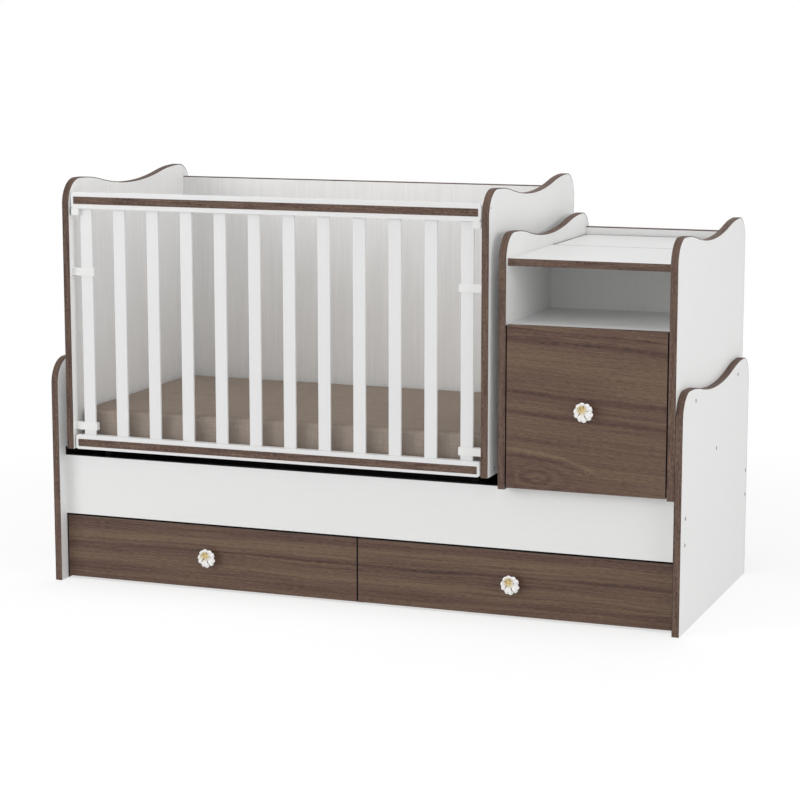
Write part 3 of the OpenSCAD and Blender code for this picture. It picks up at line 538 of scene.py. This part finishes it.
def fabric_finish():
    """Woven cotton: a plain weave, thicker threads here and there, and a soft fuzz. Its sides are
    painted lighter than its top (painted light), and it is darker along the edges at the crib's
    left panel and back (painted shade in the creases there)."""
    f = Finish("mattress_fabric", 0.86)
    f.shader.inputs["Specular IOR Level"].default_value = 0.15
    f.shader.inputs["Sheen Weight"].default_value = 0.1
    f.shader.inputs["Sheen Roughness"].default_value = 0.5
    pitch = 2 * math.pi / THREAD_PITCH
    warp = f.maths("SINE", f.times(f.total(f.x, f.times(f.grain(60, 60, 60), 0.0012)), pitch))
    weft = f.maths("SINE", f.times(f.total(f.y, f.z, f.times(f.grain(55, 70, 60), 0.0012)), pitch))
    weave = f.times(warp, weft)
    slubs = f.total(f.grain(25, 900, 900, 2, 0.6), f.grain(900, 25, 25, 2, 0.6))
    mottle = f.grain(18, 18, 18, 3, 0.6)
    # Painted light: the cover's sides get the lighter taupe
    side = f.spread(f.facing().outputs["Z"], 0.55, 0.95, 1.0, 0.0)
    low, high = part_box("mattress")
    # Painted shade: darker near the left panel and the back, in the creases there
    edges = f.maths("MAXIMUM", f.band(f.x, low.x, 0.014), f.band(f.y, high.y, 0.028))
    tones = (f.times(weave, 0.06), f.times(slubs, 0.5), f.times(mottle, 0.24), f.times(edges, -0.6))
    f.paint(f.colour(f.mix(side, TAUPE, LIT_TAUPE), *tones))
    f.matt(f.times(mottle, 0.2))
    f.relief(f.total(weave, f.times(slubs, 0.8)), depth=0.00025)
    return f.material


def porcelain_finish():
    """Glazed white, tinted yellow round the blossom's heart, with a clear glaze over it."""
    f = Finish("white_knob", 0.22)
    f.shader.inputs["Coat Weight"].default_value = 0.5
    f.shader.inputs["Coat Roughness"].default_value = 0.08
    veins = f.grain(700, 700, 700, 2, 0.6)
    cloud = f.grain(90, 90, 90, 2, 0.5)
    place = f.nodes.new("ShaderNodeTexCoord")
    apart = f.nodes.new("ShaderNodeSeparateXYZ")
    f.links.new(place.outputs["Generated"], apart.inputs[0])
    aside = f.away(apart.outputs["X"], 0.5 + HEART_X / (2 * KNOB_R))
    above = f.away(apart.outputs["Z"], 0.5 + HEART_Z / (2 * KNOB_R))
    reach = f.maths("SQRT", f.total(f.times(aside, aside), f.times(above, above)))
    yellow = f.spread(f.total(reach, f.times(cloud, 0.15)), 0.10, 0.30, 0.75, 0.0)
    tinted = f.mix(yellow, PORCELAIN, POLLEN)
    f.paint(f.colour(tinted, f.times(cloud, 0.08), f.times(veins, 0.04)))
    f.matt(f.times(cloud, 0.15))
    f.relief(veins, depth=0.00005)
    return f.material


def gilt_finish():
    f = Finish("gilt", 0.34, 0.45)
    worn = f.grain(700, 700, 700, 3, 0.6)
    f.paint(f.colour(GOLD, f.times(worn, 0.6)))
    f.matt(f.times(worn, 0.4))
    f.relief(worn, depth=0.00008)
    return f.material


def slot_finishes():
    """The finish of each of the record's material slots."""
    return {
        "white_board": board_finish("white_board", WHITE, "x", 0.25),
        "white_lacquer": lacquer_finish(),
        "white_plastic": plastic_finish(),
        "steel": steel_finish("steel", STEEL),
        "black_steel": shade_dark_steel_finish(),
        "black_seal": shade_seal_finish(),
        "plain_wood": pine_finish(),
        "dark_board": shade_board_finish(),
    }


def board_finishes():
    """The boards that differ from the rest."""
    slot_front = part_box("base_front_board")[0].y
    gap_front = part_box("cabinet_left_panel")[0].y - HAIR
    slot = shade_behind_gap("base_left_panel", slot_front, SLOT_BACK, SLOT_TOP)
    drawer_gap = shade_behind_gap("cabinet_left_panel", gap_front, DRAWER_GAP_BACK, DRAWER_GAP_TOP)
    shade_corner_x = middle_x("crib_left_panel")
    return {
        "crib_left_panel": panel_finish("crib_left_board", "crib_left_panel", 1),
        "crib_right_panel": panel_finish("crib_right_board", "crib_right_panel", -1),
        # The crib's back board: a lighter white as painted light, and painted shade near its corner
        # at the left panel
        "crib_back_panel": board_finish("crib_back_board", LIT_WHITE, "x", 1.4, shade_corner_x=shade_corner_x),
        # The niche's inner back: a darker white as painted shade in the deep niche
        "cabinet_inner_back": board_finish("cabinet_inner_board", SHADED_WHITE, "x", 0.6),
        # The base front board's top face, in shade under the crib, is painted near-black
        "base_front_board": board_finish("base_front_board", WHITE, "z", 0.25, shaded_top_faces),
        # Painted shade on the left panels' inner faces that the slot under the crib and the gap
        # beside the cabinet's drawer look onto
        "base_left_panel": board_finish("base_left_board", WHITE, "x", 0.25, slot),
        "cabinet_left_panel": board_finish("cabinet_left_board", WHITE, "x", 0.25, drawer_gap),
    }


def edge_finishes():
    """The walnut edge bands, and the strips in the drop side's rails."""
    crib = between("crib_left_panel", "crib_right_panel")
    cabinet = between("cabinet_left_panel", "cabinet_right_panel")
    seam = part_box("base_right_panel")[0].x
    return {
        "base_edge_bands": edge_finish("base_edge", seam=seam),
        "crib_edge_bands": edge_finish("crib_edge", *crib, left=-0.15),
        "cabinet_edge_bands": edge_finish("cabinet_edge", *cabinet),
        "rail_strips": edge_finish("strip_edge", low_x=-1.0, high_x=1.0),
    }


def front_finishes():
    return {
        "left_drawer_front": base_front_finish("walnut_left_front", "left_drawer_front"),
        "right_drawer_front": base_front_finish("walnut_right_front", "right_drawer_front"),
        "cabinet_drawer_front": cabinet_front_finish(),
    }


def dress_nodes():
    """Gives every CAD node that stays in view its finish, and rounds its edges a little."""
    by_slot = slot_finishes()
    by_node = {**board_finishes(), **edge_finishes(), **front_finishes(),
               "base_screws": steel_finish("screw_steel", SCREW_STEEL)}
    slots = {part["node"]: part["material_slot"] for part in frame["record"]["subparts"]}
    for name, node in frame["nodes"].items():
        finish = by_node.get(name) or by_slot.get(slots[name])
        if finish is None:
            continue
        node.data.materials.clear()
        node.data.materials.append(finish)
        soften(node)


def soften(node):
    """Rounds the sharp edges, so that they catch the light."""
    weld = node.modifiers.new("weld", "WELD")
    weld.merge_threshold = 0.00001
    bevel = node.modifiers.new("edges", "BEVEL")
    bevel.width = EDGE_ROUND
    bevel.segments = 2
    bevel.limit_method = "ANGLE"
    bevel.angle_limit = math.radians(50)
    bevel.harden_normals = True


# Mattress

COVER_INSET = 0.002
COVER_CORNER = 0.014
CORNER_STEPS = 8
COVER_BEVEL = 0.004
COVER_VOXEL = 0.008
MOST_SWELL = 0.003
COVER_LIFT = 0.0005
SWELL_FRAMES = 20
SEAM_DROP = 0.010
PIPING_R = 0.0009
PIPING_SUNK = 0.0003
PIPING_SIDES = 8


def new_piece(name, data, material):
    piece = put_in_scene(name, data)
    piece.data.materials.append(material)
    return piece


def mesh_data(mesh, name):
    """Ends the work on a mesh and gives its data."""
    data = bpy.data.meshes.new(name)
    mesh.to_mesh(data)
    mesh.free()
    return data


def shade_smooth(data):
    for face in data.polygons:
        face.use_smooth = True


def subdivide(piece):
    modifier = piece.modifiers.new("smooth", "SUBSURF")
    modifier.levels = 1
    modifier.render_levels = 1


def mattress_start(low, high):
    """A rounded slab a little smaller than the mattress, for the simulation to fill."""
    middle = (low + high) / 2
    half_x = (high.x - low.x) / 2 - COVER_INSET
    half_y = (high.y - low.y) / 2 - COVER_INSET
    mesh = bmesh.new()
    rings = []
    for inner, z in ((COVER_BEVEL, low.z + 0.001), (0.0, low.z + 0.005),
                     (0.0, high.z - 0.012), (COVER_BEVEL, high.z - 0.007)):
        ring = []
        for quarter in range(4):
            for step in range(CORNER_STEPS + 1):
                turn = math.radians(90 * quarter + 90 * step / CORNER_STEPS)
                sx = 1 if quarter in (0, 3) else -1
                sy = 1 if quarter in (0, 1) else -1
                x = sx * (half_x - inner - COVER_CORNER) + COVER_CORNER * math.cos(turn)
                y = sy * (half_y - inner - COVER_CORNER) + COVER_CORNER * math.sin(turn)
                ring.append(mesh.verts.new((middle.x + x, middle.y + y, z)))
        rings.append(ring)
    for under, over in zip(rings, rings[1:]):
        for i in range(len(under)):
            j = (i + 1) % len(under)
            mesh.faces.new((under[i], under[j], over[j], over[i]))
    mesh.faces.new(reversed(rings[0]))
    mesh.faces.new(rings[-1])
    return mesh_data(mesh, "mattress_cover")


def apply_modifiers(piece):
    graph = bpy.context.evaluated_depsgraph_get()
    done = bpy.data.meshes.new_from_object(piece.evaluated_get(graph))
    piece.modifiers.clear()
    piece.data = done


def remesh(piece, size):
    modifier = piece.modifiers.new("remesh", "REMESH")
    modifier.mode = "VOXEL"
    modifier.voxel_size = size
    apply_modifiers(piece)


def swell(piece, deck_z):
    """Fills the slab with air as cloth, but keeps it on the deck and near its start."""
    start = [v.co.copy() for v in piece.data.vertices]
    modifier = piece.modifiers.new("cloth", "CLOTH")
    settings = modifier.settings
    settings.quality = 4
    settings.mass = 0.4
    settings.use_pressure = True
    settings.uniform_pressure_force = 4
    settings.tension_stiffness = 25
    settings.compression_stiffness = 25
    settings.bending_stiffness = 3
    settings.effector_weights.gravity = 0
    modifier.point_cache.frame_start = 1
    modifier.point_cache.frame_end = SWELL_FRAMES
    for step in range(1, SWELL_FRAMES + 1):
        bpy.context.scene.frame_set(step)
    apply_modifiers(piece)
    bpy.context.scene.frame_set(1)
    for vertex, was in zip(piece.data.vertices, start):
        move = vertex.co - was
        if move.length > MOST_SWELL:
            move *= MOST_SWELL / move.length
        place = was + move
        place.z = max(place.z, deck_z + COVER_LIFT)
        vertex.co = place


def crease(piece, low, high):
    """Soft folds of the cover: long ones on the top, short ones down the sides from the seam."""
    middle = (low + high) / 2
    seam = high.z - SEAM_DROP
    for vertex in piece.data.vertices:
        place = vertex.co
        edge_x = (high.x - low.x) / 2 - abs(place.x - middle.x)
        edge_y = (high.y - low.y) / 2 - abs(place.y - middle.y)
        edge = min(edge_x, edge_y)
        along = place.x if edge_y < edge_x else place.y
        if place.z > seam:
            fold = noise.noise((place.x * 5, place.y * 30, 0.5)) * 0.0016
            pucker = noise.noise((along * 55, edge * 14, 3.5)) * 0.0014 * math.exp(-edge / 0.035)
            place.z += fold * min(1, edge / 0.05) + pucker
        else:
            down = seam - place.z
            pucker = noise.noise((along * 55, down * 12, 3.5)) * 0.0018 * math.exp(-down / 0.03)
            slow = noise.noise((along * 9, down * 20, 8.5)) * 0.0015
            out = Vector((0, place.y - middle.y, 0))
            if edge_x < edge_y:
                out = Vector((place.x - middle.x, 0, 0))
            if out.length > 0:
                place += out.normalized() * (pucker + slow - 0.001)


def outline(piece, height, out):
    """The points round the cover where it crosses this height, in order, moved outwards by out."""
    graph = bpy.context.evaluated_depsgraph_get()
    evaluated = piece.evaluated_get(graph)
    low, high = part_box("mattress")
    middle = (low + high) / 2
    points = []
    for step in range(360):
        turn = math.radians(step)
        reach = Vector((math.cos(turn), math.sin(turn), 0))
        start = Vector((middle.x, middle.y, height)) + reach * 2
        hit, place, normal, _ = evaluated.ray_cast(start, -reach)
        if hit:
            points.append(place + Vector((normal.x, normal.y, 0)).normalized() * out)
    return points


def tube(points, radius, sides, name, material):
    """A round cord through the points and back to the first."""
    mesh = bmesh.new()
    rings = []
    count = len(points)
    for i, point in enumerate(points):
        ahead = (points[(i + 1) % count] - points[i - 1]).normalized()
        side = ahead.cross(Vector((0, 0, 1))).normalized()
        ring = []
        for k in range(sides):
            turn = 2 * math.pi * k / sides
            spoke = side * radius * math.cos(turn) + Vector((0, 0, radius * math.sin(turn)))
            ring.append(mesh.verts.new(point + spoke))
        rings.append(ring)
    for i in range(count):
        a, b = rings[i], rings[(i + 1) % count]
        for k in range(sides):
            m = (k + 1) % sides
            mesh.faces.new((a[k], b[k], b[m], a[m]))
    data = mesh_data(mesh, name)
    shade_smooth(data)
    return new_piece(name, data, material)


def make_mattress():
    low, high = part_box("mattress")
    fabric = fabric_finish()
    cover = new_piece("mattress_cover", mattress_start(low, high), fabric)
    remesh(cover, COVER_VOXEL)
    swell(cover, low.z)
    crease(cover, low, high)
    subdivide(cover)
    apply_modifiers(cover)
    shade_smooth(cover.data)
    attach(cover, "crib")
    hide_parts("mattress")
    seam = outline(cover, high.z - SEAM_DROP, -PIPING_SUNK)
    piping = tube(seam, PIPING_R, PIPING_SIDES, "mattress_piping", fabric)
    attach(piping, "crib")


# Blossom knobs

PETALS = 5
KNOB_TURN = math.radians(8)
KNOB_R = 0.0247
HEART_X = -0.004
HEART_Z = 0.0062
PETAL_THICK = 0.0026
PETAL_ROWS = 10
PETAL_COLUMNS = 26
STEM_SIDES = 32
EYE_SIDES = 20
STAMENS = 13
STAMEN_R = 0.0007
STAMEN_SIDES = 8


def rim(angle):
    """The blossom's radius at this angle: two lobes to each petal."""
    aside = angle - KNOB_TURN - math.pi / PETALS
    notch = abs(math.cos(PETALS * aside / 2))
    lobe = abs(math.sin(PETALS * aside))
    return KNOB_R * (0.82 + 0.09 * notch ** 0.5 + 0.10 * lobe ** 0.6)


def petal_grid(index, heart, rows, columns):
    """The points of one petal's front, from the heart of the blossom to its rim.
    Its height off the drawer goes along -y."""
    centre = KNOB_TURN + (index + 0.5) * 2 * math.pi / PETALS
    half = math.pi / PETALS * 1.12
    grid = []
    for r in range(rows + 1):
        u = r / rows
        row = []
        for c in range(columns + 1):
            v = 2 * c / columns - 1
            angle = centre + v * half * (0.53 + 0.47 * u)
            end = rim(angle) * (1 - 0.12 * max(0.0, abs(v) - 0.75))
            target = Vector((math.cos(angle), 0, math.sin(angle))) * end
            place = heart.lerp(target, u ** 0.92)
            cup = 0.0125 + 0.0095 * math.sin(min(1, u * 1.12) * math.pi / 2) ** 1.5
            curl = -0.0035 * max(0.0, (u - 0.72) / 0.28) ** 2
            wave = 0.0015 * u * u * math.sin(3 * math.pi * v + index * 1.7)
            fold = -0.0016 * math.exp(-(v / 0.12) ** 2) * math.sin(math.pi * u)
            lean = 0.0011 * v * u
            row.append(Vector((place.x, -(cup + curl + wave + fold + lean), place.z)))
        grid.append(row)
    return grid


def add_petal(mesh, grid, thick):
    """A closed petal: its front, its back set thick behind, and the edge between."""
    rows, columns = len(grid), len(grid[0])
    front = [[mesh.verts.new(p) for p in row] for row in grid]
    back = []
    for r, row in enumerate(grid):
        thin = thick * (1.0 - 0.45 * r / (rows - 1))
        back.append([mesh.verts.new(p + Vector((0, thin, 0))) for p in row])
    corners = []
    for r in range(rows - 1):
        for c in range(columns - 1):
            corners.append((front[r][c], front[r][c + 1], front[r + 1][c + 1], front[r + 1][c]))
            corners.append((back[r][c], back[r + 1][c], back[r + 1][c + 1], back[r][c + 1]))
    edge = [(r, 0) for r in range(rows)]
    edge += [(rows - 1, c) for c in range(1, columns)]
    edge += [(r, columns - 1) for r in range(rows - 2, -1, -1)]
    edge += [(0, c) for c in range(columns - 2, 0, -1)]
    for (r0, c0), (r1, c1) in zip(edge, edge[1:] + edge[:1]):
        corners.append((front[r0][c0], front[r1][c1], back[r1][c1], back[r0][c0]))
    return [mesh.faces.new(four) for four in corners]


def join_rings(mesh, rings):
    """The faces from each ring to the next, and one that closes each end."""
    faces = []
    for a, b in zip(rings, rings[1:]):
        for k in range(len(a)):
            m = (k + 1) % len(a)
            faces.append(mesh.faces.new((a[k], a[m], b[m], b[k])))
    faces.append(mesh.faces.new(rings[0]))
    faces.append(mesh.faces.new(rings[-1]))
    return faces


def add_turned(mesh, profile, sides, centre):
    """A turned form round the y axis: profile holds the radius and the height off the drawer."""
    rings = []
    for radius, height in profile:
        ring = []
        for k in range(sides):
            turn = 2 * math.pi * k / sides
            spoke = Vector((radius * math.cos(turn), -height, radius * math.sin(turn)))
            ring.append(mesh.verts.new(centre + spoke))
        rings.append(ring)
    return join_rings(mesh, rings)


def add_stamen(mesh, foot, tip):
    """A thin gilt thread with a bead at its end."""
    ahead = (tip - foot).normalized()
    side = ahead.cross(Vector((0.3, 0.2, 0.9))).normalized()
    other = ahead.cross(side)
    thread = [(0.0, 0.7), (0.5, 0.7), (0.72, 0.75)]
    bead = [(0.8, 1.5), (0.9, 1.9), (1.0, 1.3), (1.04, 0.4)]
    rings = []
    for along, wide in thread + bead:
        ring = []
        for k in range(STAMEN_SIDES):
            turn = 2 * math.pi * k / STAMEN_SIDES
            spoke = side * math.cos(turn) + other * math.sin(turn)
            ring.append(mesh.verts.new(foot.lerp(tip, along) + spoke * STAMEN_R * wide))
        rings.append(ring)
    return join_rings(mesh, rings)


def knob_mesh(centre):
    """A blossom on a stem: ruffled petals, a gilt eye at their heart and stamens round the eye."""
    mesh = bmesh.new()
    heart = Vector((HEART_X, 0, HEART_Z))
    stem = [(0.0078, 0.0), (0.0084, 0.0012), (0.0072, 0.0026), (0.0062, 0.0060),
            (0.0072, 0.0100), (0.0092, 0.0128), (0.0096, 0.0142), (0.0078, 0.0152)]
    eye = [(0.0042, 0.0115), (0.0044, 0.0145), (0.0036, 0.0160), (0.0018, 0.0168), (0.0004, 0.0169)]
    white = add_turned(mesh, stem, STEM_SIDES, Vector((0, 0, 0)))
    for index in range(PETALS):
        white += add_petal(mesh, petal_grid(index, heart, PETAL_ROWS, PETAL_COLUMNS), PETAL_THICK)
    gold = add_turned(mesh, eye, EYE_SIDES, heart)
    for index in range(STAMENS):
        turn = 2 * math.pi * index / STAMENS + 0.3
        reach = 0.0092 + 0.0022 * math.sin(index * 2.3)
        out = Vector((math.cos(turn), 0, math.sin(turn)))
        foot = heart + out * 0.0026 + Vector((0, -0.0155, 0))
        tip = heart + out * reach + Vector((0, -0.0232 - 0.0006 * math.cos(index * 1.9), 0))
        gold += add_stamen(mesh, foot, tip)
    for face in white + gold:
        face.smooth = True
    for face in gold:
        face.material_index = 1
    bmesh.ops.recalc_face_normals(mesh, faces=mesh.faces[:])
    bmesh.ops.translate(mesh, vec=centre, verts=mesh.verts[:])
    return mesh_data(mesh, "blossom")


def make_knobs():
    white, gilt = porcelain_finish(), gilt_finish()
    for side in ("left", "right", "cabinet"):
        node = side + "_drawer_knob"
        low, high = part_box(node)
        centre = Vector(((low.x + high.x) / 2, high.y, (low.z + high.z) / 2))
        knob = new_piece(side + "_blossom", knob_mesh(centre), white)
        knob.data.materials.append(gilt)
        subdivide(knob)
        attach(knob, side + "_drawer")
        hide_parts(node)


# Studio

LAMP_AIM = Vector((0, 0, 0.5))
FLOOR_HALF = 14
FLOOR_Z = -0.0006
SHADOW_REACH = 1.0
SHADOW_END = 2.4


def area_lamp(name, place, size, power):
    data = bpy.data.lights.new(name, "AREA")
    data.shape = "SQUARE"
    data.size = size
    data.energy = power
    lamp = put_in_scene(name, data)
    lamp.location = place
    lamp.rotation_euler = (LAMP_AIM - Vector(place)).to_track_quat("-Z", "Y").to_euler()


def make_lamps():
    area_lamp("key", (-4.2, -4.6, 2.2), size=3.0, power=103)
    area_lamp("fill", (5.6, -2.4, 1.8), size=3.0, power=74)
    area_lamp("top", (0.3, -0.5, 4.6), size=3.5, power=54)


def shown_rays(nodes, links):
    """One for the rays that see the background: straight, in a reflection or through glass."""
    path = nodes.new("ShaderNodeLightPath")
    seen = path.outputs["Is Camera Ray"]
    for name in ("Is Glossy Ray", "Is Transmission Ray"):
        either = nodes.new("ShaderNodeMath")
        either.operation = "MAXIMUM"
        links.new(seen, either.inputs[0])
        links.new(path.outputs[name], either.inputs[1])
        seen = either.outputs[0]
    return seen


def make_world():
    """Soft light that is weaker from above, behind a plain white that the camera sees."""
    world = bpy.data.worlds.new("studio")
    bpy.context.scene.world = world
    world.use_nodes = True
    nodes, links = world.node_tree.nodes, world.node_tree.links
    light = nodes["Background"]
    light.inputs["Color"].default_value = (1, 1, 1, 1)
    place = nodes.new("ShaderNodeTexCoord")
    apart = nodes.new("ShaderNodeSeparateXYZ")
    sky = nodes.new("ShaderNodeMapRange")
    sky.inputs["From Min"].default_value = 0.1
    sky.inputs["From Max"].default_value = 0.7
    sky.inputs["To Min"].default_value = 1.0
    sky.inputs["To Max"].default_value = 0.40
    links.new(place.outputs["Generated"], apart.inputs[0])
    links.new(apart.outputs["Z"], sky.inputs["Value"])
    links.new(sky.outputs["Result"], light.inputs["Strength"])
    plain = nodes.new("ShaderNodeBackground")
    plain.inputs["Color"].default_value = (1, 1, 1, 1)
    mixed = nodes.new("ShaderNodeMixShader")
    links.new(shown_rays(nodes, links), mixed.inputs[0])
    links.new(light.outputs[0], mixed.inputs[1])
    links.new(plain.outputs[0], mixed.inputs[2])
    links.new(mixed.outputs[0], nodes["World Output"].inputs["Surface"])


def floor_finish():
    """White to the camera, but for the crib's shadow near the crib, and pale grey to the light."""
    material = bpy.data.materials.new("floor")
    material.use_nodes = True
    nodes, links = material.node_tree.nodes, material.node_tree.links
    shader = nodes["Principled BSDF"]
    shader.inputs["Base Color"].default_value = (0.8, 0.8, 0.8, 1)
    shader.inputs["Roughness"].default_value = 1.0
    shader.inputs["Specular IOR Level"].default_value = 0.0
    pale = nodes.new("ShaderNodeBsdfDiffuse")
    pale.inputs["Color"].default_value = (0.45, 0.45, 0.45, 1)
    glow = nodes.new("ShaderNodeEmission")
    glow.inputs["Strength"].default_value = 0.62
    both = nodes.new("ShaderNodeAddShader")
    links.new(pale.outputs[0], both.inputs[0])
    links.new(glow.outputs[0], both.inputs[1])
    place = nodes.new("ShaderNodeTexCoord")
    apart = nodes.new("ShaderNodeVectorMath")
    apart.operation = "LENGTH"
    links.new(place.outputs["Object"], apart.inputs[0])
    fade = nodes.new("ShaderNodeMapRange")
    fade.interpolation_type = "SMOOTHSTEP"
    fade.inputs["From Min"].default_value = SHADOW_REACH
    fade.inputs["From Max"].default_value = SHADOW_END
    links.new(apart.outputs["Value"], fade.inputs["Value"])
    white = nodes.new("ShaderNodeEmission")
    shown = nodes.new("ShaderNodeMixShader")
    links.new(fade.outputs["Result"], shown.inputs[0])
    links.new(both.outputs[0], shown.inputs[1])
    links.new(white.outputs[0], shown.inputs[2])
    mixed = nodes.new("ShaderNodeMixShader")
    links.new(shown_rays(nodes, links), mixed.inputs[0])
    links.new(shader.outputs[0], mixed.inputs[1])
    links.new(shown.outputs[0], mixed.inputs[2])
    links.new(mixed.outputs[0], nodes["Material Output"].inputs["Surface"])
    return material


def make_floor():
    mesh = bmesh.new()
    corners = [mesh.verts.new((x * FLOOR_HALF, y * FLOOR_HALF, FLOOR_Z))
               for x, y in ((-1, -1), (1, -1), (1, 1), (-1, 1))]
    mesh.faces.new(corners)
    new_piece("floor", mesh_data(mesh, "floor"), floor_finish())


make_camera()
dress_nodes()
make_mattress()
make_knobs()
make_lamps()
make_world()
make_floor()
bpy.context.scene.view_settings.view_transform = "Standard"
